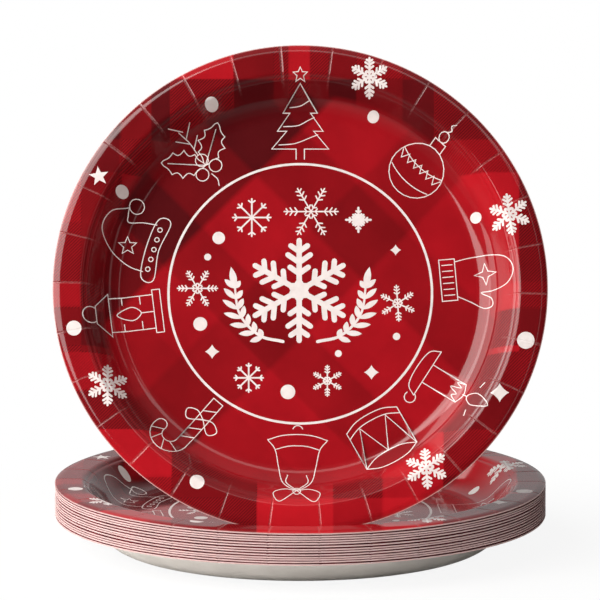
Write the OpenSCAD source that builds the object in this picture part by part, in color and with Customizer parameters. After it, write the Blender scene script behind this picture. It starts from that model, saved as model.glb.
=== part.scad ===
// A nested stack of round dinner plates pressed from paper board, with one
// more plate of the same kind standing on edge in the top plate's well.
// Units are millimetres. The origin is on the floor, on the stack's axis.

/* [Plate] */
// Diameter of a plate over its rolled edge
plate_d = 228.6; // [200:0.1:280]
// Height of the rim's flat top above the floor the plate stands on
plate_h = 15.4; // [13:0.1:24]
// Thickness of the board
board_t = 0.6; // [0.35:0.05:0.8]
// Width of the rim, from the top of the well to the outer edge
rim_w = 12; // [9:0.1:24]
// Slope of the well's wall above the floor, in degrees
wall_angle = 50; // [42:1:60]
// Radius of the bend between the base and the wall
base_bend_r = 14.7; // [9:0.1:17]

/* [Pressed edge] */
// Radius of the bend where the wall turns over into the rim
shoulder_r = 3; // [2:0.1:4]
// Radius of the fine groove pressed under the shoulder
groove_r = 1.6; // [1.2:0.1:2.2]
// Radius of the bead below the groove
bead_r = 2.4; // [1.6:0.1:3]
// Slope of the board between bead and groove, in degrees
ledge_angle = 18; // [8:1:30]
// Radius of the edge that is rolled down
edge_roll_r = 7.9; // [5:0.1:10]
// Angle that the edge is rolled down by, in degrees
edge_roll_angle = 28; // [15:1:45]

/* [Pleats] */
// Number of pleats around the rim
pleat_count = 30; // [12:1:40]
// Width of a pleat at the outer edge
pleat_w = 1.4; // [0.8:0.1:2.5]
// Depth that a pleat is pressed into the printed face
pleat_depth = 0.14; // [0.08:0.01:0.2]
// Turn from the top of the print to the first pleat, in degrees
pleat_start = 7.4; // [0:0.1:12]

/* [Stack] */
// Number of plates that lie nested
nested_count = 13; // [3:1:20]
// Gap between two plates that sit tight, square to the wall
tight_gap = 0.08; // [0.05:0.01:0.3]
// Gap between two plates that sit loose, square to the wall
loose_gap = 0.26; // [0.1:0.01:0.5]

/* [Standing plate] */
// Lean of the standing plate back from upright, in degrees
lean = 21.5; // [12:0.5:28]
// Depth of its lowest edge below the top plate's rim
seat_drop = 4.4; // [3:0.1:6]
// Gap between its edge and the wall it rests on
seat_gap = 0.15; // [0.1:0.05:0.5]

/* [Hidden] */
$fn = 180;
bend_steps = 4; // straight facets along the bend between base and wall
shoulder_steps = 3; // straight facets along the shoulder
fine_steps = 2; // straight facets along the bead, the groove and the rolled edge
cut_over = 0.4; // how far a pleat's cutter stands proud of the board
seat_steps = 40; // points along the standing edge that are tried against the wall
// Gaps that sit loose, counted down from the top plate
loose_places = [1, 4, 5, 6, 8, 9, 12];

plate_r = plate_d / 2;
half_t = board_t / 2;
// Middle of the board's thickness on the base and on the rim
base_z = half_t;
rim_z = plate_h - half_t;
// Widths and heights that the bends of the section take up
roll_start_r = plate_r - half_t * sin(edge_roll_angle) - edge_roll_r * sin(edge_roll_angle);
well_r = plate_r - rim_w;
groove_span = [sin(wall_angle) - sin(ledge_angle), cos(ledge_angle) - cos(wall_angle)];
shoulder_in = [well_r, rim_z] - shoulder_r * [sin(wall_angle), 1 - cos(wall_angle)];
groove_in = shoulder_in - groove_r * groove_span;
bead_in = groove_in - bead_r * groove_span;
base_bend = base_bend_r * [sin(wall_angle), 1 - cos(wall_angle)];
wall_rise = bead_in[1] - base_z - base_bend[1];
base_r = bead_in[0] - wall_rise / tan(wall_angle) - base_bend[0];

// Nested plates are named from the bottom up: plate_01, plate_02 and so on
function plate_name(i) = str("plate_", i < 10 ? "0" : "", i);

// Unit vector square to the board where it climbs at a heading, on the printed side
function square_to(heading) = [-sin(heading), cos(heading)];

// A bend of the section that starts at a point of the middle line and turns from one
// heading to the next, taken off the middle line by a distance on the printed side.
// A bend that another one follows straight on leaves the point they share to that one.
function bend(start, radius, from, to, steps, off, shared = 0) =
    let (side = to > from ? 1 : -1, centre = start + side * radius * square_to(from))
    [for (i = [0 : steps - shared])
        centre - side * (radius - side * off) * square_to(from + (to - from) * i / steps)];

// The shoulder, the flat rim and the rolled edge
function rim_line(off) = concat(
    bend(shoulder_in, shoulder_r, wall_angle, 0, shoulder_steps, off),
    bend([roll_start_r, rim_z], edge_roll_r, 0, -edge_roll_angle, fine_steps, off));

// The whole section outside the flat base
function dish_line(off) = concat(
    bend([base_r, base_z], base_bend_r, 0, wall_angle, bend_steps, off),
    bend(bead_in, bead_r, wall_angle, ledge_angle, fine_steps, off, 1),
    bend(groove_in, groove_r, ledge_angle, wall_angle, fine_steps, off, 1),
    rim_line(off));

function reversed(points) = [for (i = [len(points) - 1 : -1 : 0]) points[i]];
function last(points) = points[len(points) - 1];

// The whole board in section, from the axis to the rolled edge
module plate_section() {
    printed = concat([[0, base_z + half_t]], dish_line(half_t));
    plain = concat([[0, base_z - half_t]], dish_line(-half_t));
    polygon(concat(printed, reversed(plain)));
}

// What one pleat takes out of the printed face, from the shoulder to past the rolled edge
module pleat_section() {
    past_edge = cut_over * [cos(edge_roll_angle), -sin(edge_roll_angle)];
    deep = rim_line(half_t - pleat_depth);
    proud = rim_line(half_t + cut_over);
    polygon(concat(deep, [last(deep) + past_edge, last(proud) + past_edge], reversed(proud)));
}

// One plate in its own frame: it stands on z = 0 with the top of its print towards +y
module plate() {
    pleat_angle = 2 * atan(pleat_w / 2 / plate_r);
    difference() {
        rotate_extrude() plate_section();
        for (i = [0 : pleat_count - 1])
            rotate(90 - pleat_start - pleat_angle / 2 - i * 360 / pleat_count)
                rotate_extrude(angle = pleat_angle) pleat_section();
    }
}

// Steps between nested plates, measured upright
tight_pitch = (board_t + tight_gap) / cos(wall_angle);
loose_pitch = (board_t + loose_gap) / cos(wall_angle);
function is_loose(gap) = len(search(gap, loose_places)) > 0;
function pitch(gap) = is_loose(gap) ? loose_pitch : tight_pitch;
// Height of a nested plate above the floor, counted from the bottom plate
function nested_z(i) = i <= 1 ? 0 : nested_z(i - 1) + pitch(nested_count + 1 - i);

module nested_plate(i) {
    color("firebrick") translate([0, 0, nested_z(i)]) plate();
}

// Where the standing plate's outer edge comes to rest on the top plate's wall
top_z = nested_z(nested_count);
// Printed corner of the rolled edge, in the plate's own frame
edge_corner = last(rim_line(half_t));
// Heights and radii of the top plate's well, held off its surface by the seat's gap
well_line = [for (p = dish_line(half_t + seat_gap)) if (p[0] <= well_r) [top_z + p[1], p[0]]];
well_top = last(well_line)[0];
edge_low = top_z + plate_h - seat_drop;
edge_centre_z = edge_low + plate_r * cos(lean);
// How far back the edge's centre lies for the point at a turn from the lowest to clear the wall
function back_for(turn) =
    let (x = plate_r * sin(turn), z = edge_centre_z - plate_r * cos(turn) * cos(lean))
    plate_r * cos(turn) * sin(lean) - sqrt(pow(lookup(z, well_line), 2) - x * x);
reach = acos(1 - (well_top - edge_low) / (plate_r * cos(lean)));
edge_centre_y = max([for (i = [0 : seat_steps]) back_for(reach * i / seat_steps)]);

module standing_plate() {
    color("crimson")
        translate([0, edge_centre_y, edge_centre_z])
            rotate([90 - lean, 0, 0])
                translate([0, 0, -edge_corner[1]])
                    plate();
}

for (i = [1 : nested_count])
    nested_plate(i);
standing_plate();
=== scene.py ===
# A stack of printed paper plates with one more plate standing on edge in the top one's well.
# Shapes are worked out in millimetres, in each plate's own frame: the base stands on z = 0 and
# the top of the print points along +y. A plate is put in its place as the last step of its mesh.
from math import ceil, cos, pi, radians, sin, sqrt, tan

import bpy
import numpy as np
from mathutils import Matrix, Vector
from mathutils.geometry import delaunay_2d_cdt


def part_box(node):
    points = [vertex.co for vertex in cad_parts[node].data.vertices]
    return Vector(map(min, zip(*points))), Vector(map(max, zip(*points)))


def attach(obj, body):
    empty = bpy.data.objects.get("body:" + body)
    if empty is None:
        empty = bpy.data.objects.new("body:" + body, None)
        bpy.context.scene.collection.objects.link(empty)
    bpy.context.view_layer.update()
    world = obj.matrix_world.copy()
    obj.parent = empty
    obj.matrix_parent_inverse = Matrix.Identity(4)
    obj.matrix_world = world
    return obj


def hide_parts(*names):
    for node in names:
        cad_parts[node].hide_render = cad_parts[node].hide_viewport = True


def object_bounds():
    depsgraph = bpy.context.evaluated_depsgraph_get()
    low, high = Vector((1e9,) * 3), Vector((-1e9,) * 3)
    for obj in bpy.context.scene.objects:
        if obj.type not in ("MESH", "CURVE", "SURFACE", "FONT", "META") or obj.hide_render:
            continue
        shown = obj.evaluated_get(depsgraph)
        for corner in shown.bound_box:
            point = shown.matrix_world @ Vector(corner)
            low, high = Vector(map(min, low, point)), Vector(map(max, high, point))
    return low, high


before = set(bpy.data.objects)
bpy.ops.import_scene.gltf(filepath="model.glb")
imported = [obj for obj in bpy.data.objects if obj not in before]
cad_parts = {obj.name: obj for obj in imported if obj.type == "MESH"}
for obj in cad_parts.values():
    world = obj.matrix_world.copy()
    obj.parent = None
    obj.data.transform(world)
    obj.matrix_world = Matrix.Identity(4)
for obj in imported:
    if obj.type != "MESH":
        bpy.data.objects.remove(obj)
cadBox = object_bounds()
scene = bpy.context.scene
print("frame loaded:", len(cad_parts), "nodes")

# The section of the pressed board, which is the same for every plate
board = {
    "thickness": 0.6,
    "rimWidth": 12.0,
    "wallAngle": 50.0,
    "baseBend": 14.7,  # radius of the bend between base and wall
    "bead": 2.4,  # radius of the bead near the top of the wall
    "groove": 1.6,  # radius of the groove above the bead
    "ledgeAngle": 18.0,  # slope between bead and groove
    "shoulder": 3.0,  # radius where the wall turns over into the rim
    "edgeRoll": 7.9,  # radius of the edge that is rolled down
    "edgeRollAngle": 28.0,
}
pleat = {
    "count": 30,
    "first": 7.4,  # degrees clockwise from the top of the print
    "aside": 0.25,  # degrees that a pleat may lie off its place
    "width": (0.7, 1.5),  # narrowest and widest, measured at the outer edge
    "depth": (0.07, 0.13),
    "ramp": 0.1,  # width of a pleat's steep sides
    "fadeIn": (94.0, 101.0),  # radii over which the pleats grow to their depth
    "underside": 0.35,  # share of the depth that shows on the underside
    "crack": 0.11,  # how far the ink is cracked to either side of a steep side
    "clear": 0.11,  # share of the way to the next pleat that holds no other spoke
}
sagRadii = {
    "rimFrom": 92.0,  # the rim's slow waves grow from here to the edge
    "baseUntil": (70.0, 84.0),  # the base's unevenness dies away between these
}
standingLean = 21.5  # degrees back from upright
perMetre = 1000  # millimetres in a metre, the frame's unit
printSpan = 250.0  # the print's map covers this many millimetres each way

lowCorner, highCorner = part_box("plate_01")
plateRadius = (highCorner.x - lowCorner.x) * perMetre / 2
plateHeight = (highCorner.z - lowCorner.z) * perMetre


# The board's section

def squareTo(heading):
    # unit vector square to the board where it climbs at a heading, on the printed side
    turn = np.radians(heading)
    return np.stack([-np.sin(turn), np.cos(turn)], -1)


def bendLine(start, radius, fromAngle, toAngle, offset, stepAngle=2.0):
    # arc of the middle line, moved off it by an offset: centre plus or less radius times the normal
    side = 1 if toAngle > fromAngle else -1
    centre = np.array(start) + side * radius * squareTo(fromAngle)
    steps = max(2, int(abs(toAngle - fromAngle) / stepAngle))
    headings = np.linspace(fromAngle, toAngle, steps + 1)
    return centre - side * (radius - side * offset) * squareTo(headings)


def bendSpan(fromAngle, toAngle):
    # run and rise of a bend with a radius of 1
    a, b = radians(fromAngle), radians(toAngle)
    return np.array([sin(b) - sin(a), cos(a) - cos(b)])


def sectionLine(offset):
    # radius and height along the board from the axis to the edge, straight between the bends
    half = board["thickness"] / 2
    wall, ledge, roll = board["wallAngle"], board["ledgeAngle"], board["edgeRollAngle"]
    baseZ, rimZ = half, plateHeight - half
    rollSine = sin(radians(roll))
    rollStart = plateRadius - half * rollSine - board["edgeRoll"] * rollSine
    wellTop = plateRadius - board["rimWidth"]
    wallSpan, ledgeSpan = bendSpan(0, wall), bendSpan(ledge, wall)
    shoulderIn = np.array([wellTop, rimZ]) - board["shoulder"] * wallSpan
    grooveIn = shoulderIn - board["groove"] * ledgeSpan
    beadIn = grooveIn - board["bead"] * ledgeSpan
    baseBend = board["baseBend"] * wallSpan
    rise = beadIn[1] - baseZ - baseBend[1]
    baseRadius = beadIn[0] - rise / tan(radians(wall)) - baseBend[0]
    return np.concatenate([
        [[0, baseZ + offset]],
        bendLine([baseRadius, baseZ], board["baseBend"], 0, wall, offset),
        bendLine(beadIn, board["bead"], wall, ledge, offset),
        bendLine(grooveIn, board["groove"], ledge, wall, offset),
        bendLine(shoulderIn, board["shoulder"], wall, 0, offset),
        bendLine([rollStart, rimZ], board["edgeRoll"], 0, -roll, offset),
    ])


printedLine = sectionLine(board["thickness"] / 2)
plainLine = sectionLine(-board["thickness"] / 2)


def smoothStep(x, low, high):
    # 0 below low and 1 above high, with a cubic between them
    t = np.clip((x - low) / (high - low), 0, 1)
    return t * t * (3 - 2 * t)


def pleatsOf(rng):
    # each pleat's place, width and depth, a little different from its neighbours
    turns = pleat["first"] + np.arange(pleat["count"]) * 360 / pleat["count"]
    return {
        "angle": np.radians(turns + rng.uniform(-pleat["aside"], pleat["aside"], pleat["count"])),
        "width": rng.uniform(*pleat["width"], pleat["count"]),
        "depth": rng.uniform(*pleat["depth"], pleat["count"]),
    }


def nearestPleat(x, y, pleats):
    # arc in millimetres at the outer edge to the nearest pleat's middle, and which pleat it is
    turn = np.arctan2(x, y)
    step = 2 * np.pi / pleat["count"]
    which = np.round((turn - np.radians(pleat["first"])) / step).astype(int) % pleat["count"]
    off = (turn - pleats["angle"][which] + np.pi) % (2 * np.pi) - np.pi
    return off * plateRadius, which


def pleatPress(x, y, pleats):
    # depth of a flat channel with steep sides, which comes in up the wall
    off, which = nearestPleat(x, y, pleats)
    halfWidth = pleats["width"][which] / 2
    inside = 1 - smoothStep(np.abs(off), halfWidth - pleat["ramp"], halfWidth)
    return inside * pleats["depth"][which] * smoothStep(np.hypot(x, y), *pleat["fadeIn"])


def sagOf(x, y, sag):
    # slow waves round the plate that grow towards the rim, and a faint unevenness of the base:
    # sums of sines, each with its count or length, its height and its phase
    radius, turn = np.hypot(x, y), np.arctan2(x, y)
    waves = sum(a * np.sin(k * turn + p) for k, a, p in sag["waves"])
    low = sum(a * np.sin(x / s + p) * np.sin(y / s - p) for s, a, p in sag["base"])
    onRim = smoothStep(radius, sagRadii["rimFrom"], plateRadius)
    onBase = 1 - smoothStep(radius, *sagRadii["baseUntil"])
    return waves * onRim + low * onBase


def faceHeight(x, y, plate, printed):
    # the section turned about the axis, less the pleats on the printed face, plus the sag
    line = printedLine if printed else plainLine
    height = np.interp(np.hypot(x, y), line[:, 0], line[:, 1])
    press = pleatPress(x, y, plate["pleats"])
    return height - press * (1 if printed else pleat["underside"]) + sagOf(x, y, plate["sag"])


def faceNormal(x, y, plate, printed, reach=0.03):
    # square to the height's slope, found by small steps either way
    slopeX = faceHeight(x + reach, y, plate, printed) - faceHeight(x - reach, y, plate, printed)
    slopeY = faceHeight(x, y + reach, plate, printed) - faceHeight(x, y - reach, plate, printed)
    normal = np.stack([-slopeX, -slopeY, np.full_like(slopeX, 2 * reach)], -1)
    normal /= np.linalg.norm(normal, axis=-1, keepdims=True)
    return normal if printed else -normal


# The white ornament: every shape is a list of closed loops of points, in millimetres

ink = {
    "line": 0.42,  # width of the drawn motifs' lines
    "ringRadius": 60.9,
    "ringWidth": 1.1,
    "motifFoot": 63.2,  # radius that the drawn motifs stand on
    "motifScale": 1.2,
}


def discLoop(x, y, radius, points=32):
    turn = np.linspace(0, 2 * np.pi, points, endpoint=False)
    return np.stack([x + radius * np.cos(turn), y + radius * np.sin(turn)], -1)


def band(x, y, radius, width, points=40):
    outer, inner = (discLoop(x, y, radius + side * width / 2, points) for side in (1, -1))
    return [outer, inner[::-1]]


def starShape(x, y, radius, points, waist, turn=0.0):
    # tips and waists by turns
    steps = np.arange(points * 2)
    reach = np.where(steps % 2, radius * waist, radius)
    angle = np.radians(90 + turn) - steps * np.pi / points
    return [np.stack([x + reach * np.cos(angle), y + reach * np.sin(angle)], -1)[::-1]]


def sparkle(x, y, radius, hollow=2.6, points=40):
    # four tips with hollow sides: a circle whose cosine and sine are raised to a power
    turn = np.linspace(0, 2 * np.pi, points, endpoint=False)
    reach = np.stack([np.cos(turn), np.sin(turn)], -1)
    return [np.array([x, y]) + radius * np.sign(reach) * np.abs(reach) ** hollow]


def ribbon(points, width, closed=False, sharpest=0.5, tiny=1e-9):
    # a line of some width: its points moved to both sides along the mitre, with round ends
    p = np.asarray(points, float)
    half = np.broadcast_to(np.asarray(width, float) / 2, len(p))[:, None]
    ahead = np.roll(p, -1, 0) - p
    ahead /= np.linalg.norm(ahead, axis=1, keepdims=True) + tiny
    behind = np.roll(ahead, 1, 0)
    if not closed:
        ahead[-1], behind[0] = behind[-1], ahead[0]
    mitre = ahead + behind
    mitre /= np.linalg.norm(mitre, axis=1, keepdims=True) + tiny
    stretch = 1 / np.maximum(np.sum(mitre * ahead, 1, keepdims=True), sharpest)
    side = np.stack([-mitre[:, 1], mitre[:, 0]], -1) * half * stretch
    if closed:
        outer, inner = p - side, p + side
        if signedArea(p) < 0:
            outer, inner = inner, outer
            return [outer[::-1], inner]
        return [outer, inner[::-1]]
    cap = np.radians([-45, 0, 45])[:, None]

    def endCap(centre, along, reach):
        across = np.stack([along[1], -along[0]])
        return centre + reach * (np.cos(cap) * along + np.sin(cap) * -across)

    first = endCap(p[0], -ahead[0], half[0])
    final = endCap(p[-1], ahead[-1], half[-1])
    return [np.concatenate([p - side, final, (p + side)[::-1], first])]


def signedArea(loop):
    # half the sum of the cross products of neighbouring points, above 0 for a loop that turns left
    x, y = loop[:, 0], loop[:, 1]
    return 0.5 * np.sum(x * np.roll(y, -1) - np.roll(x, -1) * y)


def flake(x, y, radius, arms, width, barbs, turn=0.0, lean=55.0):
    # straight arms with pairs of barbs: each barb starts at a share of the arm and leans off it
    shapes = []
    centre = np.array([x, y])
    forward, aside = cos(radians(lean)), sin(radians(lean))
    for k in range(arms):
        angle = radians(90 + turn + k * 360 / arms)
        along = np.array([cos(angle), sin(angle)])
        across = np.array([-along[1], along[0]])
        shapes.append(ribbon([centre, centre + radius * along], width))
        for start, length in barbs:
            foot = centre + start * radius * along
            for side in (-1, 1):
                tip = foot + length * radius * (forward * along + side * aside * across)
                shapes.append(ribbon([foot, tip], width))
    return shapes


def arcLine(x, y, radius, fromAngle, toAngle, points=14):
    turn = np.radians(np.linspace(fromAngle, toAngle, points))
    return np.stack([x + radius * np.cos(turn), y + radius * np.sin(turn)], -1)


def smoothLine(points, closed=False, steps=6):
    # a Catmull-Rom curve through the points
    p = np.asarray(points, float)
    if closed:
        p = np.concatenate([p[-1:], p, p[:2]])
    else:
        p = np.concatenate([2 * p[:1] - p[1:2], p, 2 * p[-1:] - p[-2:-1]])
    t = np.linspace(0, 1, steps, endpoint=False)[None, :, None]
    a, b, c, d = (p[i:len(p) - 3 + i, None, :] for i in range(4))
    line = 2 * b + (c - a) * t + (2 * a - 5 * b + 4 * c - d) * t ** 2 + (3 * b - a - 3 * c + d) * t ** 3
    line = line.reshape(-1, 2) / 2
    return line if closed else np.concatenate([line, p[-2:-1]])


# Each drawn motif is a list of lines, as (points, closed). It stands on (0, 0) and is up to 35 high
# before the motifs' scale is applied.

def straight(*points, closed=False):
    return [(points, closed)]


def bowed(*points, closed=False):
    return [(smoothLine(points, closed), closed)]


def arc(*facts, closed=False):
    return [(arcLine(*facts), closed)]


def bothSides(lines):
    return lines + [([(-x, y) for x, y in points], closed) for points, closed in lines]


def star(*facts):
    return [(starShape(*facts)[0], True)]


def baubleMotif():
    zigzag = np.stack([np.linspace(-9.6, 9.6, 13), 14.6 + 1.5 * (-1.0) ** np.arange(13)], -1)
    lines = arc(0, 13, 10.6, 0, 345, 24, closed=True)
    lines += arc(0, 39.5, 24.6, 246.5, 293.5) + arc(0, 31.9, 24.6, 248, 292) + straight(*zigzag)
    lines += straight((-2.6, 23.4), (-2.6, 26.6), (2.6, 26.6), (2.6, 23.4))
    lines += arc(0, 28.6, 2.0, -90, 255, 12, closed=True)
    return lines + bowed((0, 30.6), (0.9, 32), (-0.4, 33.4), (0.6, 35))


def caneMotif():
    hookX, hookY, bend = 1.4, 22, 5.4
    stemX, half = -4, 2.3  # middle and half the width of the straight part
    lines = []
    for reach in (half, -half):
        bow = arcLine(hookX, hookY, bend + reach, 180, -10, 16)
        lines += straight((stemX - reach, 0), *bow)
    lines += straight((stemX - half, 0), (stemX + half, 0)) + arc(6.7, 21.1, half, 180, 360, 8)
    for height in (3.4, 7.8, 12.2, 16.6):
        lines += straight((stemX - half, height), (stemX + half, height + 3))
    for turn in (150, 105, 60, 20):
        outer = arcLine(hookX, hookY, bend + half, turn, turn, 1)
        inner = arcLine(hookX, hookY, bend - half, turn - 22, turn - 22, 1)
        lines += straight(*outer, *inner)
    lines += bowed((stemX, 9), (-9, 12.5), (-11.4, 9.6), (-8, 7.6), (stemX, 9))
    return lines + bowed((stemX, 9), (1, 12.5), (3.4, 9.6), (0, 7.6), (stemX, 9))


def bellMotif():
    lines = bowed((-11.5, 4.6), (-8.6, 8.4), (-7.2, 15), (-5.4, 21.6), (0, 24.8),
                  (5.4, 21.6), (7.2, 15), (8.6, 8.4), (11.5, 4.6))
    lines += bowed((-11.5, 4.6), (-6, 2.9), (0, 2.4), (6, 2.9), (11.5, 4.6))
    lines += bowed((-8.6, 8.4), (-4, 7.1), (0, 6.8), (4, 7.1), (8.6, 8.4))
    lines += arc(0, 0.9, 2.0, 200, 340, 8) + arc(0, 25.6, 1.5, 0, 330, 10, closed=True)
    lines += bothSides(bowed((0, 25.2), (-6.5, 30.4), (-9, 26.6), (-5, 24.6), (0, 25.2)))
    return lines + bothSides(bowed((-0.8, 24.4), (-4.2, 21.4), (-3.6, 18.4)))


def hollyMotif():
    lines = []
    for tilt in (-52, 52):
        a = radians(90 - tilt)
        along, across = np.array([cos(a), sin(a)]), np.array([-sin(a), cos(a)])
        reach = np.linspace(0, 1, 25)
        width = 5.4 * np.sin(np.pi * reach) ** 0.8 * (1 - 0.34 * np.abs(np.sin(4 * np.pi * reach)))
        base = np.array([0, 9.5])
        edge = [base + 17 * reach[:, None] * along + s * width[:, None] * across for s in (1, -1)]
        lines += straight(*edge[0], *edge[1][::-1][1:-1], closed=True)
        lines += straight(base, base + 14.5 * along)
    for x, y in ((-3.1, 7.2), (3.1, 7.2), (0, 11.9)):
        lines += arc(x, y, 2.5, 0, 345, 14, closed=True)
    lines += bowed((0, 5.4), (0.6, 2.4), (-0.4, 0)) + bowed((0, 14.4), (0, 20), (-1.5, 25))
    for height, side in ((17, 1), (19.5, -1), (22, 1), (24.4, -1)):
        lines += straight((0, height), (side * 4.2, height + 3.6))
    return lines


def candleMotif():
    lines = bothSides(straight((-4, 5.4), (-4, 20.5)) + straight((-5.2, 26), (-7.6, 26.6)))
    lines += bowed((-4, 20.5), (-3.2, 17.2), (-2, 19.4), (-0.6, 15.6), (0.8, 19), (2.2, 17.6), (4, 20.5))
    lines += bowed((-4, 20.5), (0, 21.8), (4, 20.5)) + straight((0, 21.4), (0, 23.4))
    lines += bowed((0, 23.2), (-2.6, 26.6), (0, 32.6), (2.6, 26.6), closed=True)
    lines += bowed((-10, 5.4), (-7.4, 1.6), (0, 0.6), (7.4, 1.6), (10, 5.4))
    return lines + straight((-10, 5.4), (10, 5.4)) + arc(11.4, 4.6, 2.2, 150, -120, 10)


def firMotif():
    side = [(1.6, 0), (1.6, 4), (11, 4), (5.2, 11), (8.8, 11), (4, 18), (6.6, 18), (0, 28)]
    lines = straight(*side, *[(-x, y) for x, y in side[::-1][1:]]) + star(0, 31, 2.9, 5, 0.45)
    lines += bowed((-8.2, 5.6), (-2, 6.2), (4.2, 8.6), (6.8, 9.6))
    lines += bowed((-6.4, 12.8), (-1, 13.2), (3, 15.2), (5.4, 16.4))
    return lines + bowed((-4, 20), (0, 20.6), (3.4, 22.4))


def mittenMotif():
    lines = bowed((-7.2, 7.6), (-8.2, 14), (-8.2, 22), (-5.6, 27.6), (-0.6, 29.6), (4, 27), (5.6, 21.4),
                  (5.8, 16.8), (8.4, 20.4), (11.4, 20.6), (12, 17.4), (9, 12.4), (6.4, 7.6))
    lines += straight((-8.4, 1.6), (7.8, 1.6), (7.8, 7.6), (-8.4, 7.6), closed=True)
    for x in np.linspace(-6.2, 5.6, 6):
        lines += straight((x, 2.6), (x, 6.6))
    return lines + star(-1.2, 19, 4.2, 4, 0.36)


def lanternMotif():
    lines = straight((-6.6, 4), (6.6, 4), (6.6, 21), (-6.6, 21), closed=True)
    lines += straight((-8.4, 1), (8.4, 1), (8.4, 4), (-8.4, 4), closed=True)
    lines += straight((-8.4, 21), (8.4, 21), (3.4, 26.4), (-3.4, 26.4), closed=True)
    lines += arc(0, 28.4, 3.2, -38, 218, 14) + straight((0, 4), (0, 9))
    lines += bowed((0, 9), (-2.6, 12.6), (0, 18.4), (2.6, 12.6), closed=True)
    return lines + bothSides(straight((-6.6, 9), (-3.4, 9)) + straight((-6.6, 16), (-3.8, 16)))


def hatMotif():
    lines = bowed((-9.5, 8), (-9, 14), (-5.4, 22), (1, 27.4), (8.4, 26), (12.6, 20))
    lines += bowed((9.5, 8), (8.8, 13.4), (7.2, 18.6), (9.6, 19.6), (12.6, 20))
    lines += bowed((-11.6, 3), (-11.6, 8), (0, 9.4), (11.6, 8), (11.6, 3), (0, 4.4), closed=True)
    lines += arc(14, 17.4, 2.9, 0, 340, 14, closed=True) + star(-1.6, 16.4, 3.6, 5, 0.45)
    for x in (-8, -4, 0, 4, 8):
        lines += arc(x, 6.3, 0.9, 0, 320, 8, closed=True)
    return lines


def drumMotif():
    lines = bothSides(straight((-11, 4), (-11, 20)))
    for y, way in ((4, -1), (6.6, -1), (20, -1), (20, 1)):
        near, far = y + way * 2.2, y + way * 2.8
        lines += bowed((-11, y), (-6, near), (0, far), (6, near), (11, y))
    return lines + straight((-11, 20), (-5.6, 4.6), (0, 17.2), (5.6, 4.6), (11, 20))


# degrees clockwise from the top of the print
motifs = [(0, firMotif), (43, baubleMotif), (85, mittenMotif), (122.5, candleMotif), (151, drumMotif),
          (181, bellMotif), (221, caneMotif), (263, lanternMotif), (287, hatMotif), (324, hollyMotif)]


def turned(loop, angle, lift):
    # moves a loop out along +y by the lift, then turns it clockwise about the plate's axis
    a = radians(angle)
    x, y = loop[:, 0], loop[:, 1] + lift
    return np.stack([x * cos(a) + y * sin(a), -x * sin(a) + y * cos(a)], -1)


def motifShapes():
    shapes = []
    for angle, lines in motifs:
        for points, closed in lines():
            loops = ribbon(np.asarray(points) * ink["motifScale"], ink["line"], closed)
            shapes.append([turned(loop, angle, ink["motifFoot"]) for loop in loops])
    return shapes


sprigs = {
    "stem": [(8, -22.5), (19, -19.5), (28, -9.5), (30.5, 5)],  # the right one, from its foot up
    "stemWidth": (1.5, 0.9),
    "leaves": (6.4, 7.8, 8.6, 8.8, 8.4, 7.6, 6.4),  # lengths of the pairs, from the foot up
    "inner": 0.68,  # share of its length that a leaf on the ring's inner side has
    "swell": 1.3,  # half a leaf's greatest width
    "splay": (0.74, 0.67),  # how much a leaf points along the stem and across it
    "tip": (1.5, 7.5),  # run and rise of the leaf at the end
    "tipWidth": 3.2,
}
centreFlake = {
    "middle": (-0.5, 1.5),
    "radius": 23.5,
    "width": 2.5,
    "barbs": [(0.34, 0.22), (0.56, 0.27), (0.78, 0.2)],
    "star": (6.6, 6, 0.62),  # radius, points and waist
}


def sprig(side):
    # a bowed stem with leaves in pairs, whose width is the sine of the way along them to a power
    stem = smoothLine([(side * x, y) for x, y in sprigs["stem"]], steps=12)
    shapes = [ribbon(stem, np.linspace(*sprigs["stemWidth"], len(stem)))]
    places = np.linspace(10, len(stem) - 3, len(sprigs["leaves"])).astype(int)
    for at, fullLength in zip(places, sprigs["leaves"]):
        along = stem[min(at + 1, len(stem) - 1)] - stem[at - 1]
        along /= np.linalg.norm(along)
        across = np.array([-along[1], along[0]])
        for hand in (-1, 1):
            way = sprigs["splay"][0] * along + sprigs["splay"][1] * hand * across
            length = fullLength * (sprigs["inner"] if hand == side else 1)
            reach = np.linspace(0, 1, 12)[:, None]
            swell = sprigs["swell"] * np.sin(np.pi * reach) ** 0.8
            flat = np.array([-way[1], way[0]])
            leaf = [stem[at] + length * reach * way + s * swell * flat for s in (-1, 1)]
            shapes.append([np.concatenate([leaf[0], leaf[1][::-1][1:-1]])])
    run, rise = sprigs["tip"]
    tip = stem[-1] + np.outer(np.linspace(0, 1, 8), [side * run, rise])
    shapes.append(ribbon(tip, sprigs["tipWidth"] * np.sin(np.pi * np.linspace(0.25, 1, 8)) + 0.1))
    return shapes


def centreShapes():
    # one bold flake between two sprigs, where the ring's middle is
    middle = centreFlake["middle"]
    shapes = flake(*middle, centreFlake["radius"], 6, centreFlake["width"], centreFlake["barbs"])
    shapes += [starShape(*middle, *centreFlake["star"])]
    return shapes + sprig(1) + sprig(-1)


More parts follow.
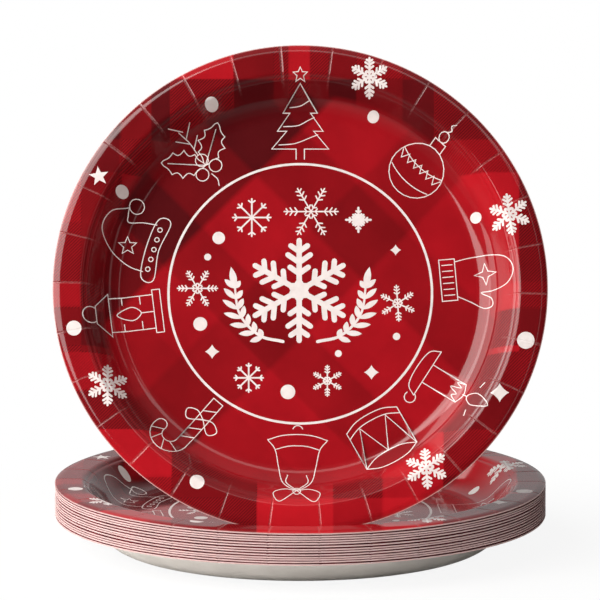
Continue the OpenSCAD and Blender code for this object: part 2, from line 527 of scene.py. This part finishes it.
# Places and sizes in millimetres from the middle of the print
boldFlakes = [  # x, y, radius, turn
    (32.0, 99.2, 9.0, 0), (96.6, 34.6, 9.4, 8), (58.0, -83.9, 9.8, 4), (-88.8, -45.2, 9.7, 0),
]
largeDots = [  # x, y, radius
    (-41.0, 87.1, 3.1), (-82.3, 46.3, 3.0), (33.8, 82.6, 2.7), (81.2, 35.2, 2.6),
    (104.0, -24.5, 4.0), (-104.4, -18.8, 3.5), (-47.5, -90.6, 3.4),
]
innerDots = [
    (-37.7, 26.2, 2.9), (-42.8, 17.2, 1.6), (-46.2, -14.2, 3.2), (-5.7, -46.1, 3.4),
    (17.6, -28.1, 1.6), (44.5, -20.1, 1.7),
]
sparkles = [(91.9, -49.0, 4.5), (-40.7, -27.2, 3.4), (32.9, -36.9, 3.5), (44.1, 20.5, 2.6)]
rimStar = (-93.0, 52.5, 4.7, 5, 0.42, 8)  # x, y, radius, points, waist, turn
thinFlakes = [  # x, y, radius, arms, style, turn
    (-22.4, 35.8, 8.8, 8, "wheel", 0), (5.0, 38.6, 12.5, 6, "feathered", 30),
    (-47.5, 2.5, 9.3, 6, "feathered", 30), (45.0, -4.5, 8.4, 6, "feathered", 4),
    (-23.8, -39.5, 6.7, 8, "wheel", 0), (12.5, -40.9, 7.2, 6, "feathered", 0),
    (26.9, 34.7, 5.7, 4, "cross", 0), (26.9, 34.7, 3.4, 4, "shortCross", 45),
]
flakeStyles = {  # the lines' width, then each pair of barbs' start and length as shares of the arm
    "bold": (1.05, [(0.2, 0.17), (0.42, 0.24), (0.62, 0.25), (0.8, 0.17)]),
    "wheel": (0.75, [(0.78, 0.2)]),
    "feathered": (0.62, [(0.16, 0.12), (0.5, 0.17), (0.68, 0.17), (0.85, 0.13)]),
    "cross": (1.0, [(0.3, 0.3), (0.6, 0.2)]),
    "shortCross": (0.9, [(0.4, 0.3)]),
}


def printShapes():
    shapes = [band(0, 0, ink["ringRadius"], ink["ringWidth"], 180)]
    for x, y, radius, turn in boldFlakes:
        shapes += flake(x, y, radius, 6, *flakeStyles["bold"], turn)
    shapes += [[discLoop(*place)] for place in largeDots + innerDots]
    shapes.append(starShape(*rimStar))
    shapes += [sparkle(*place) for place in sparkles]
    for x, y, radius, arms, style, turn in thinFlakes:
        shapes += flake(x, y, radius, arms, *flakeStyles[style], turn)
    return shapes + centreShapes() + motifShapes()


def insideLoops(points, loops):
    # winding number of each point, summed over a shape's loops
    low = np.min([loop.min(0) for loop in loops], 0)
    high = np.max([loop.max(0) for loop in loops], 0)
    near = np.flatnonzero(np.all((points >= low) & (points <= high), 1))
    winding = np.zeros(len(near), int)
    px, py = points[near, 0][:, None], points[near, 1][:, None]
    for loop in loops:
        ax, ay = loop[:, 0], loop[:, 1]
        bx, by = np.roll(ax, -1), np.roll(ay, -1)
        left = (bx - ax) * (py - ay) - (px - ax) * (by - ay)
        winding += np.sum((ay <= py) & (by > py) & (left > 0), 1)
        winding -= np.sum((ay > py) & (by <= py) & (left < 0), 1)
    return near[winding != 0]


# The meshes

meshSteps = {
    "base": 6.0,  # between the printed base's rings, in millimetres
    "baseTurn": pi / 36,
    "baseClear": 3.0,  # left free next to the bend
    "under": 16.0,  # between the underside's rings on the base
    "underClear": 5.0,
    "coarser": 1.6,  # the underside's rings on the bends, against the printed face's
    "join": 1e-4,  # outline points nearer than this become one
    "onEdge": 1e-3,
}


def plateColumns(pleats, between):
    # angles of the mesh's spokes: some on each pleat's sides, the rest spread between the pleats
    sides = pleats["width"][:, None] / 2 + pleat["ramp"] * np.array([-1, 0, 1])
    across = np.concatenate([-sides, sides], 1) / plateRadius
    step = 2 * np.pi / pleat["count"]
    gap = np.linspace(pleat["clear"], 1 - pleat["clear"], between)[None, :] * step
    turns = np.concatenate([across, np.broadcast_to(gap, (pleat["count"], between))], 1)
    return np.sort(((turns + pleats["angle"][:, None]) % (2 * np.pi)).ravel())


def ringRadii(spacing, line, widest=20.0):
    # the section's own points, thinned to a spacing where it bends and filled in where it is straight
    keep = [line[1, 0]]
    for radius in line[1:-1, 0]:
        if radius - keep[-1] >= spacing:
            keep.append(radius)
    rings = keep[:1]
    for radius in keep[1:] + [plateRadius]:
        steps = ceil((radius - rings[-1]) / widest)
        rings += np.linspace(rings[-1], radius, steps + 1)[1:].tolist()
    return np.array(rings)


def creaseOf(x, y, pleats):
    # 1 along both sides of each pleat, 0 a little way off
    off, which = nearestPleat(x, y, pleats)
    off = np.abs(np.abs(off) - pleats["width"][which] / 2 + pleat["ramp"] / 2)
    return np.clip(1 - off / pleat["crack"], 0, 1) * smoothStep(np.hypot(x, y), *pleat["fadeIn"])


def polarGrid(radii, turns):
    # x and y at each radius and each turn clockwise from the top of the print
    r, a = np.meshgrid(radii, turns, indexing="ij")
    return np.stack([r * np.sin(a), r * np.cos(a)], -1).reshape(-1, 2)


def printedFace(plate, shapes):
    # polar grid and the ornament's outlines, triangulated together; returns points, triangles, ink
    columns = plate["columns"]
    radii = ringRadii(plate["spacing"], printedLine, plate["widest"])
    grid = polarGrid(radii, columns)
    baseRadii = np.arange(meshSteps["base"], radii[0] - meshSteps["baseClear"], meshSteps["base"])
    base = polarGrid(baseRadii, np.arange(0, 2 * np.pi, meshSteps["baseTurn"]))
    points = [grid, base, np.zeros((1, 2))]
    count = sum(len(p) for p in points)
    rim = np.arange(len(grid) - len(columns), len(grid))
    edges = [np.stack([rim, np.roll(rim, -1)], -1)]
    for shape in shapes:
        for loop in shape:
            at = count + np.arange(len(loop))
            edges.append(np.stack([at, np.roll(at, -1)], -1))
            points.append(loop)
            count += len(loop)
    flat = np.concatenate(points)
    joined = np.concatenate(edges).tolist()
    made = delaunay_2d_cdt([Vector(p) for p in flat.tolist()], joined, [], 0, meshSteps["join"], False)
    flat = np.array([tuple(v) for v in made[0]])
    triangles = np.array(made[2])
    a, b, c = (flat[triangles[:, i]] for i in range(3))
    area = (b[:, 0] - a[:, 0]) * (c[:, 1] - a[:, 1]) - (b[:, 1] - a[:, 1]) * (c[:, 0] - a[:, 0])
    triangles[area < 0] = triangles[area < 0][:, ::-1]
    middle = (a + b + c) / 3
    inked = np.zeros(len(triangles), bool)
    for shape in shapes:
        inked[insideLoops(middle, shape)] = True
    return flat, triangles, inked


def undersidePoints(plate, turn):
    # rings from the edge inwards, with as many points as the edge has, and the pole as the last point
    radii = ringRadii(plate["spacing"] * meshSteps["coarser"], plainLine)
    radii[-1] = plainLine[-1, 0]
    baseRadii = np.arange(meshSteps["under"], radii[0] - meshSteps["underClear"], meshSteps["under"])
    return np.concatenate([polarGrid(np.concatenate([baseRadii, radii])[::-1], turn), np.zeros((1, 2))])


def plateSurface(plate, shapes):
    # printed face, cut edge and underside as one closed surface in the plate's own frame
    flat, triangles, inked = printedFace(plate, shapes)
    x, y = flat[:, 0], flat[:, 1]
    rim = np.flatnonzero(np.hypot(x, y) > plateRadius - meshSteps["onEdge"])
    rim = rim[np.argsort(np.arctan2(x[rim], y[rim]) % (2 * np.pi))]
    turn = np.arctan2(x[rim], y[rim])
    underX, underY = undersidePoints(plate, turn).T
    points = np.concatenate([
        np.column_stack([x, y, faceHeight(x, y, plate, True)]),
        np.column_stack([underX, underY, faceHeight(underX, underY, plate, False)]),
    ])
    normals = np.concatenate([faceNormal(x, y, plate, True), faceNormal(underX, underY, plate, False)])

    # the printed triangles, a strip of cut edge, the underside's rings and the fan round its pole
    count = len(rim)
    rings = len(flat) + np.arange(len(underX) - 1).reshape(-1, count)
    here, there = rings[:-1], rings[1:]
    edge = np.column_stack([rim, np.roll(rim, -1), np.roll(rings[0], -1), rings[0]])
    under = np.stack([here, np.roll(here, -1, 1), np.roll(there, -1, 1), there], -1).reshape(-1, 4)
    fan = np.column_stack([rings[-1], np.roll(rings[-1], -1), np.full(count, len(points) - 1)])
    parts = (triangles, edge, under, fan)
    loops = np.concatenate([faces.ravel() for faces in parts])
    sizes = np.concatenate([np.full(len(faces), faces.shape[1]) for faces in parts])
    slot = np.concatenate([np.where(inked, 1, 0), np.full(count, 2), np.full(len(under) + count, 3)])

    # the cut edge is square to the rolled rim, so its corners have a normal of their own
    roll = radians(board["edgeRollAngle"])
    outward = np.column_stack([np.sin(turn), np.cos(turn)]) * cos(roll)
    outward = np.column_stack([outward, np.full(count, -sin(roll))])
    edgeNormals = np.zeros_like(normals)
    edgeNormals[rim] = outward
    edgeNormals[rings[0]] = outward
    isEdge = np.repeat(slot == 2, sizes)
    loopNormals = np.where(isEdge[:, None], edgeNormals[loops], normals[loops])
    return {"points": points, "loops": loops, "sizes": sizes, "slot": slot, "normals": loopNormals}


def buildPlate(name, node, plate, shapes, tilt):
    # the surface put in the node's place as a mesh, with the print's map and the pleats' creases
    surface = plateSurface(plate, shapes)
    points, loops, sizes = surface["points"], surface["loops"], surface["sizes"]
    placed, spin = placeOf(node, tilt)
    # the sag never carries a plate out of the box that the CAD solids fill
    world = np.clip((points @ spin.T + placed) / perMetre, np.array(cadBox[0]), np.array(cadBox[1]))
    starts = np.concatenate([[0], np.cumsum(sizes)[:-1]])
    mesh = bpy.data.meshes.new(name)
    mesh.vertices.add(len(points))
    mesh.vertices.foreach_set("co", world.astype(np.float32).ravel())
    mesh.loops.add(len(loops))
    mesh.loops.foreach_set("vertex_index", loops.astype(np.int32))
    mesh.polygons.add(len(sizes))
    mesh.polygons.foreach_set("loop_start", starts.astype(np.int32))
    mesh.polygons.foreach_set("material_index", surface["slot"].astype(np.int32))
    mesh.update(calc_edges=True)
    printMap = mesh.uv_layers.new(name="printMap")
    uv = points[loops, :2] / printSpan + 0.5
    printMap.data.foreach_set("uv", uv.astype(np.float32).ravel())
    crease = mesh.attributes.new("crease", "FLOAT", "POINT")
    amount = creaseOf(points[:, 0], points[:, 1], plate["pleats"])
    crease.data.foreach_set("value", amount.astype(np.float32))
    mesh.normals_split_custom_set((surface["normals"] @ spin.T).tolist())
    mesh.validate(clean_customdata=False)
    for material in (plateMaterials if shapes else nestedMaterials):
        mesh.materials.append(material)
    piece = newObject(name, mesh)
    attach(piece, "root")
    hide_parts(node)
    return piece


def newObject(name, data):
    made = bpy.data.objects.new(name, data)
    scene.collection.objects.link(made)
    return made


def placeOf(node, tilt):
    # where the CAD node's own frame lies: its middle and its lowest point once it is turned flat
    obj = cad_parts[node]
    co = np.empty(len(obj.data.vertices) * 3, np.float32)
    obj.data.vertices.foreach_get("co", co)
    co = co.reshape(-1, 3).astype(float) * perMetre
    a = radians(tilt)
    spin = np.array([[1, 0, 0], [0, cos(a), -sin(a)], [0, sin(a), cos(a)]])
    flat = co @ spin
    low, high = flat.min(0), flat.max(0)
    origin = np.array([(low[0] + high[0]) / 2, (low[1] + high[1]) / 2, low[2]])
    return spin @ origin, spin


# Materials

class Graph:
    # a node tree with a few short ways to add nodes
    def __init__(self, tree):
        self.tree = tree

    def node(self, kind, inputs=None, **settings):
        made = self.tree.nodes.new(kind)
        for key, value in settings.items():
            setattr(made, key, value)
        for key, value in (inputs or {}).items():
            self.put(value, made.inputs[key])
        return made

    def put(self, value, socket):
        if isinstance(value, bpy.types.NodeSocket):
            self.tree.links.new(value, socket)
        elif isinstance(value, bpy.types.Node):
            self.tree.links.new(value.outputs[0], socket)
        else:
            socket.default_value = value

    def math(self, operation, a, b=0.0):
        return self.node("ShaderNodeMath", {0: a, 1: b}, operation=operation).outputs[0]

    def vector(self, operation, a, b=(0, 0, 0)):
        return self.node("ShaderNodeVectorMath", {0: a, 1: b}, operation=operation).outputs

    def ramp(self, value, stops):
        made = self.node("ShaderNodeValToRGB", {0: value})
        elements = made.color_ramp.elements
        while len(elements) < len(stops):
            elements.new(0.5)
        for element, (place, colour) in zip(elements, stops):
            element.position = place
            element.color = (*colour, 1)
        return made.outputs[0]

    def mix(self, amount, a, b, blend="MIX"):
        made = self.node("ShaderNodeMix", data_type="RGBA", blend_type=blend)
        self.put(amount, made.inputs[0])
        self.put(a, made.inputs[6])
        self.put(b, made.inputs[7])
        return made.outputs[2]

    def noise(self, scale, detail, vector):
        inputs = {"Scale": scale, "Detail": detail, "Vector": vector}
        return self.node("ShaderNodeTexNoise", inputs).outputs[0]


class Shader(Graph):
    # a material's own node tree
    def __init__(self, name):
        self.material = bpy.data.materials.new(name)
        self.material.use_nodes = True
        super().__init__(self.material.node_tree)
        self.surface = self.tree.nodes["Principled BSDF"]
        self.output = self.tree.nodes["Material Output"]

    def finish(self, colour, roughness, specular):
        self.put(colour, self.surface.inputs["Base Color"])
        self.surface.inputs["Roughness"].default_value = roughness
        self.surface.inputs["Specular IOR Level"].default_value = specular
        return self.material

    def printPlace(self):
        # the print's map, and the distance from the plate's axis as a share of the map's half span
        uv = self.node("ShaderNodeUVMap", uv_map="printMap").outputs[0]
        middle = self.vector("SUBTRACT", uv, (0.5, 0.5, 0))[0]
        return uv, self.math("MULTIPLY", self.vector("LENGTH", middle)[1], 2.0)

    def objectPlace(self):
        return self.node("ShaderNodeTexCoord").outputs["Object"]


black, white = (0, 0, 0), (1, 1, 1)


def riseStops(low, high):
    # black below the first place, white above the second
    return [(low, black), (high, white)]


def ofSpan(radius):
    # a radius in millimetres as a share of the map's half span
    return radius / (printSpan / 2)


def bandStops(edges, levels, span, soft):
    # grey stops for a row of bands: levels change at the edges, given in millimetres
    stops = [(0.0, (levels[0],) * 3)]
    for edge, before, after in zip(edges, levels, levels[1:]):
        place = edge / span + 0.5
        stops += [(place - soft / span / 2, (before,) * 3), (place + soft / span / 2, (after,) * 3)]
    return stops


tartan = {
    "acrossEdges": [-101, -83, -69, -60, -31, -12.5, -5.2, 4.2, 13, 26, 47, 62, 101],
    "acrossLevels": [0.5, 1.0, 0.3, 0.9, 0.0, 1.0, 0.5, 0.0, 0.5, 1.0, 0.4, 0.8, 0.05, 0.7],
    # in the lowest row the mid band from 15 to 38 is partly print and partly painted shade, darker towards
    # the right
    "lowerEdges": [-59, -20, 15, 38, 66],  # across again, for the lowest part of the print
    "lowerLevels": [0.3, 0.85, 0.0, 0.5, 0.05, 0.6],
    "lowerTop": -30,
    "upEdges": [-98, -88, -66, -48, -27, -9, 3, 31, 54, 70, 98],
    "upLevels": [0.05, 0.4, 0.1, 0.8, 0.3, 0.8, 0.1, 0.35, 0.2, 0.6, 1.0, 0.3],
    "soft": 0.5,  # width of the blurred border between two bands
    "weight": 0.44,  # the tone is both rows of bands added up, times this
    "lift": 0.1,  # plus this
    "hatch": 1.5,  # millimetres from one twill line to the next, measured across
    "hatchLine": (0.18, 0.32),
    "hatchDepth": 0.36,
    "hatchFrom": (0.34, 0.42),  # tones at which the twill lines come in
    "hatchTo": (0.56, 0.66),  # and at which they go out again
    "fromRadius": (90.0, 93.75),  # the tartan takes over from the diamonds between these
}
diamonds = {
    "risingEdges": [-60, -35, -10, 25, 55, 80],
    "risingLevels": [0.2, 0.05, 0.35, 0.0, 0.35, 0.05, 0.1],
    "fallingEdges": [-85, -54, -18, 15, 45, 75],
    "fallingLevels": [0.9, 1.0, 0.12, 0.36, 0.0, 0.05, 0.1],
    "soft": 1.6,
    "weight": 0.5,
    "lift": 0.28,
}
reds = {
    "bright": (0.52, 0.010, 0.017),
    "middle": (0.33, 0.0055, 0.0105),
    "deep": (0.19, 0.004, 0.0065),
    "darkest": (0.065, 0.0035, 0.005),
}
tones = [(0.0, reds["bright"]), (0.3, reds["middle"]), (0.6, reds["deep"]), (1.0, reds["darkest"])]
wear = {
    "colour": (0.72, 0.45, 0.43, 1),  # the board where the ink is gone
    "cracked": 0.22,  # how much of it shows along the pleats
    "atEdge": 0.8,  # and at the cut edge
    "edgeFrom": 0.22,  # this far from the edge to this far
    "edgeTo": 0.1,
}


def laminate(shader, coat=1.0):
    # clear film over the ink
    shader.surface.inputs["Coat Weight"].default_value = coat
    shader.surface.inputs["Coat Roughness"].default_value = 0.08
    shader.surface.inputs["Coat IOR"].default_value = 1.5


def ripple(shader, uv):
    # slight waviness of the film, so that reflections aren't ruler-straight
    fine = shader.noise(34.0, 2.0, uv)
    bump = shader.node("ShaderNodeBump", {"Strength": 0.25, "Distance": 0.00006, "Height": fine})
    shader.put(bump, shader.surface.inputs["Normal"])
    shader.put(bump, shader.surface.inputs["Coat Normal"])


def bandTone(shader, place, pattern, row, span):
    # the grey tone of one row of bands
    stops = bandStops(pattern[row + "Edges"], pattern[row + "Levels"], span, pattern["soft"])
    return shader.ramp(place, stops)


def woven(shader, pattern, first, second):
    # both rows of bands added up, times the pattern's weight plus its lift
    both = shader.math("MULTIPLY", shader.math("ADD", first, second), pattern["weight"])
    return shader.math("ADD", both, pattern["lift"])


def tartanTone(shader, across, up, climb):
    acrossTone = bandTone(shader, across, tartan, "across", printSpan)
    lowerTone = bandTone(shader, across, tartan, "lower", printSpan)
    isLow = shader.ramp(up, bandStops([tartan["lowerTop"]], [1, 0], printSpan, tartan["soft"]))
    acrossTone = shader.mix(isLow, acrossTone, lowerTone)
    tone = woven(shader, tartan, acrossTone, bandTone(shader, up, tartan, "up", printSpan))
    # twill lines at 45 degrees show where a light band crosses a darker one
    wave = shader.math("FRACT", shader.math("MULTIPLY", climb, printSpan / tartan["hatch"]))
    line = shader.math("ABSOLUTE", shader.math("SUBTRACT", wave, 0.5))
    line = shader.ramp(line, riseStops(*tartan["hatchLine"]))
    fadeOut = [(tartan["hatchTo"][0], white), (tartan["hatchTo"][1], black)]
    mixed = shader.ramp(tone, riseStops(*tartan["hatchFrom"]) + fadeOut)
    hatch = shader.math("MULTIPLY", shader.math("MULTIPLY", line, mixed), tartan["hatchDepth"])
    return shader.math("ADD", tone, hatch)


def diamondTone(shader, across, up, climb):
    # the same idea turned by 45 degrees, with wide blurred bands
    rising = shader.math("MULTIPLY", shader.math("ADD", across, up), 0.5)
    falling = shader.math("ADD", shader.math("MULTIPLY", climb, 0.5), 0.5)
    wide = printSpan * sqrt(2)
    return woven(shader, diamonds, bandTone(shader, rising, diamonds, "rising", wide),
                 bandTone(shader, falling, diamonds, "falling", wide))


def printedRed():
    shader = Shader("printedRed")
    uv, radius = shader.printPlace()
    parts = shader.node("ShaderNodeSeparateXYZ", {0: uv}).outputs
    across, up = parts[0], parts[1]
    climb = shader.math("SUBTRACT", across, up)
    tartanColour = shader.ramp(tartanTone(shader, across, up, climb), tones)
    softColour = shader.ramp(diamondTone(shader, across, up, climb), tones)
    # the base's pattern gives way to the rim's up the wall
    start, end = tartan["fromRadius"]
    onRim = shader.ramp(radius, riseStops(ofSpan(start), ofSpan(end)))
    colour = shader.mix(onRim, softColour, tartanColour)
    cloudy = shader.ramp(shader.noise(9.0, 3.0, uv), [(0.3, (0.86,) * 3), (0.7, (1.1,) * 3)])
    colour = shader.mix(1.0, colour, cloudy, "MULTIPLY")
    # the ink is cracked along the pleats and worn off at the cut edge
    crease = shader.node("ShaderNodeAttribute", attribute_name="crease").outputs[2]
    broken = shader.ramp(shader.noise(260.0, 2.0, uv), [(0.4, (0.25,) * 3), (0.6, white)])
    cracked = shader.math("MULTIPLY", shader.math("MULTIPLY", crease, broken), wear["cracked"])
    edgeFrom, edgeTo = ofSpan(plateRadius - wear["edgeFrom"]), ofSpan(plateRadius - wear["edgeTo"])
    edge = shader.ramp(radius, riseStops(edgeFrom, edgeTo))
    worn = shader.math("MAXIMUM", cracked, shader.math("MULTIPLY", edge, wear["atEdge"]))
    laminate(shader)
    ripple(shader, uv)
    return shader.finish(shader.mix(worn, colour, wear["colour"]), 0.42, 0.02)


def whiteInk():
    shader = Shader("whiteInk")
    uv = shader.printPlace()[0]
    grain = shader.noise(60.0, 4.0, uv)
    colour = shader.ramp(grain, [(0.3, (0.70, 0.62, 0.60)), (0.7, (0.78, 0.72, 0.70))])
    laminate(shader)
    ripple(shader, uv)
    return shader.finish(colour, 0.5, 0.02)


def cutEdge():
    # the board's pressed plies show as faint lines along the cut
    shader = Shader("cutEdge")
    stretched = shader.node("ShaderNodeMapping", {0: shader.objectPlace(), "Scale": (60, 60, 4000)})
    grain = shader.noise(1.0, 2.0, stretched)
    colour = shader.ramp(grain, [(0.3, (0.58, 0.36, 0.35)), (0.7, (0.76, 0.56, 0.55))])
    return shader.finish(colour, 0.75, 0.3)


def plainBoard():
    # uncoated board with a soft mottle and short fibres
    shader = Shader("plainBoard")
    place = shader.objectPlace()
    mottle = shader.noise(55.0, 4.0, place)
    colour = shader.ramp(mottle, [(0.3, (0.73, 0.70, 0.665)), (0.7, (0.81, 0.785, 0.75))])
    fibre = shader.noise(900.0, 3.0, place)
    speck = shader.ramp(fibre, [(0.66, white), (0.78, (0.86, 0.83, 0.78))])
    bump = shader.node("ShaderNodeBump", {"Strength": 0.2, "Distance": 0.00005, "Height": fibre})
    shader.put(bump, shader.surface.inputs["Normal"])
    return shader.finish(shader.mix(1.0, colour, speck, "MULTIPLY"), 0.62, 0.35)


def paintedShadeRed():
    # painted shade: the strip of print that shows in the slit between two nested edges is painted a dark
    # maroon in place of the print, as if in deep shade, with a pale line at the cut
    shader = Shader("paintedShadeRed")
    uv, radius = shader.printPlace()
    cloud = shader.noise(30.0, 2.0, uv)
    colour = shader.ramp(cloud, [(0.35, (0.08, 0.004, 0.008)), (0.65, (0.15, 0.006, 0.012))])
    bevel = shader.ramp(radius, riseStops(ofSpan(plateRadius - 0.2), ofSpan(plateRadius - 0.12)))
    laminate(shader, 0.1)
    return shader.finish(shader.mix(bevel, colour, (0.80, 0.62, 0.60, 1)), 0.5, 0.02)


plateMaterials = [printedRed(), whiteInk(), cutEdge(), plainBoard()]
# nested plates carry the painted-shade red in place of the print
nestedMaterials = [paintedShadeRed()] + plateMaterials[1:]
print("materials made")


# The plates

stack = {
    "spacing": 0.9,  # rings on the bends of a nested plate, millimetres apart
    "widest": 20.0,  # and on its straight parts
    "between": 5,  # spokes between two pleats
    "waves": 0.07,  # height of the rims' slow waves
    "base": 0.02,
}
shown = {"spacing": 0.42, "widest": 1.1, "between": 9, "waves": 0.09, "base": 0.05}
wavePhase = 6.28  # the waves' phases are drawn from 0 to this many radians
standingSeed = 40


def plateFacts(seed, sizes):
    # what makes a plate differ from the next: its pleats and its waves, lower the more of them there are
    rng = np.random.default_rng(seed)
    pleats = pleatsOf(rng)
    waves = []
    for count in (2, 3, 5, 9):
        height = sizes["waves"] / (0.6 + 0.25 * count) * rng.uniform(0.5, 1)
        waves.append((count, height, rng.uniform(0, wavePhase)))
    base = [(length, sizes["base"], rng.uniform(0, wavePhase)) for length in (21.0, 13.0)]
    return {
        "pleats": pleats,
        "sag": {"waves": waves, "base": base},
        "columns": plateColumns(pleats, sizes["between"]),
        "spacing": sizes["spacing"],
        "widest": sizes["widest"],
    }


ornament = printShapes()
nested = sorted(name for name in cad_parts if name.startswith("plate_"))
plates = []
for number, node in enumerate(nested, 1):
    isTop = node == nested[-1]
    facts = plateFacts(number, shown if isTop else stack)
    piece = buildPlate(f"paperPlate{number:02d}", node, facts, ornament if isTop else [], 0)
    plates.append(piece)
facts = plateFacts(standingSeed, shown)
standing = buildPlate("standingPaperPlate", "standing_plate", facts, ornament, 90 - standingLean)
plates.append(standing)
triangles = [sum(len(face.vertices) - 2 for face in piece.data.polygons) for piece in plates]
print("plates made:", len(plates), "with", sum(triangles), "triangles; the standing one has", triangles[-1])


# Floor, world, lights and camera

view = {
    "frameWidth": 0.2788,  # metres across the picture at the stack's axis
    "middle": (-0.0001, 0.0, 0.1157),
    "elevation": 11.3,
    "distance": 8.0,
}


ground = {
    "radius": 3.0,  # metres
    "corners": 96,
    "level": -0.0002,  # just under the bottom plate
    "shadowTo": (0.12, 0.22),  # the shadow that the camera sees fades between these radii
    "shadowHidden": 0.9,  # share of plain white inside the first
    "paint": [(0.22, (0.82, 0.81, 0.80)), (0.5, (0.22, 0.22, 0.22))],  # pale round the stack, dark away
    "mirrored": 0.25,  # brightness in reflections: the studio's floor ends not far in front
}
room = {
    "diffuse": 0.11,
    "backFrom": (0.55, 0.8),  # how far a reflection looks back before it sees the backdrop
    "backLevel": (0.006, 0.55),
    "aboveFrom": (0.55, 1.0),
    "aboveLevel": (0.0, 0.5),
    "seen": 1.0,  # white
}


def makeFloor():
    turn = np.linspace(0, 2 * np.pi, ground["corners"], endpoint=False)
    size = ground["radius"]
    corners = [(size * cos(t), size * sin(t), ground["level"]) for t in turn]
    mesh = bpy.data.meshes.new("floor")
    mesh.from_pydata(corners, [], [tuple(range(len(corners)))])
    shader = Shader("floorWhite")
    path = shader.node("ShaderNodeLightPath").outputs
    away = shader.vector("LENGTH", shader.objectPlace())[1]
    mesh.materials.append(shader.finish(shader.ramp(away, ground["paint"]), 0.9, 0.1))
    lit = shader.surface.outputs[0]
    # the camera sees a share of the lit floor, for its shadow, and plain white away from the stack
    near, far = ground["shadowTo"]
    share = shader.ramp(away, [(near, (ground["shadowHidden"],) * 3), (far, white)])
    plain = shader.node("ShaderNodeEmission", {"Color": (*white, 1), "Strength": 1.0})
    seen = shader.node("ShaderNodeMixShader", {0: share, 1: lit, 2: plain})
    dim = shader.node("ShaderNodeMixShader", {0: 1 - ground["mirrored"], 1: lit})
    other = shader.node("ShaderNodeMixShader", {0: path["Is Glossy Ray"], 1: lit, 2: dim})
    chosen = shader.node("ShaderNodeMixShader", {0: path["Is Camera Ray"], 1: other, 2: seen})
    shader.put(chosen, shader.output.inputs[0])
    floor = newObject("floor", mesh)


def makeWorld():
    # white where the camera looks past the object, a dim room for everything else, and the white
    # backdrop in reflections that look back over the stack
    world = bpy.data.worlds.new("studio")
    world.use_nodes = True
    world.node_tree.nodes.clear()
    graph = Graph(world.node_tree)
    path = graph.node("ShaderNodeLightPath").outputs
    facing = graph.node("ShaderNodeTexCoord").outputs["Generated"]
    parts = graph.node("ShaderNodeSeparateXYZ", {0: facing}).outputs
    levels = []
    for part, side in ((parts[1], "back"), (parts[2], "above")):
        limits = dict(enumerate(room[side + "From"] + room[side + "Level"], 1))
        levels.append(graph.node("ShaderNodeMapRange", {0: part, **limits}))
    mirrored = graph.math("MAXIMUM", *levels)
    unseen = graph.node("ShaderNodeMix", {0: path["Is Glossy Ray"], 2: room["diffuse"], 3: mirrored})
    isSeen = graph.math("MAXIMUM", path["Is Camera Ray"], path["Is Transmission Ray"])
    strength = graph.node("ShaderNodeMix", {0: isSeen, 2: unseen, 3: room["seen"]})
    light = graph.node("ShaderNodeBackground", {"Strength": strength})
    graph.node("ShaderNodeOutputWorld", {0: light})
    scene.world = world


lampTarget = (0, -0.03, 0.1)
lampColour = (1, 0.975, 0.95)
# direction from the target, distance, width and height in metres, watts, seen in reflections
lamps = {
    "keySoftbox": ((-0.76, -0.40, 0.51), 1.6, (0.8, 1.3), 13, False),
    "keyGlow": ((-0.52, -0.62, 0.588), 1.5, (1.15, 0.97), 17, True),
    "sidePanel": ((-0.885, 0.062, 0.46), 1.5, (1.9, 1.9), 32, True),
    "frontFill": ((0.62, -0.72, 0.32), 2.2, (1.6, 1.2), 2.8, False),
    "wallCard": ((0.335, -0.80, 0.50), 1.6, (0.1, 0.9), 0.35, True),
    "edgeCard": ((0.83, -0.43, 0.36), 1.6, (0.2, 1.2), 0.5, True),
    "topCard": ((0.0, -0.62, 0.78), 1.6, (1.6, 0.25), 2.2, True),
}


def makeLamp(name, way, away, size, power, mirrored):
    data = bpy.data.lights.new(name, "AREA")
    data.shape = "RECTANGLE"
    data.size, data.size_y = size
    data.energy = power
    data.color = lampColour
    lamp = newObject(name, data)
    way = Vector(way).normalized()
    lamp.location = Vector(lampTarget) + way * away
    lamp.rotation_euler = way.to_track_quat("Z", "Y").to_euler()
    lamp.visible_glossy = mirrored


def makeCamera():
    data = bpy.data.cameras.new("camera")
    data.lens = data.sensor_width * view["distance"] / view["frameWidth"]
    data.clip_end = 100
    camera = newObject("camera", data)
    rise = radians(view["elevation"])
    back = Vector((0, -cos(rise), sin(rise)))
    camera.location = Vector(view["middle"]) + back * view["distance"]
    camera.rotation_euler = back.to_track_quat("Z", "Y").to_euler()
    scene.camera = camera


makeFloor()
makeWorld()
for name, facts in lamps.items():
    makeLamp(name, *facts)
makeCamera()
scene.view_settings.view_transform = "Standard"
print("stage, lights and camera made")
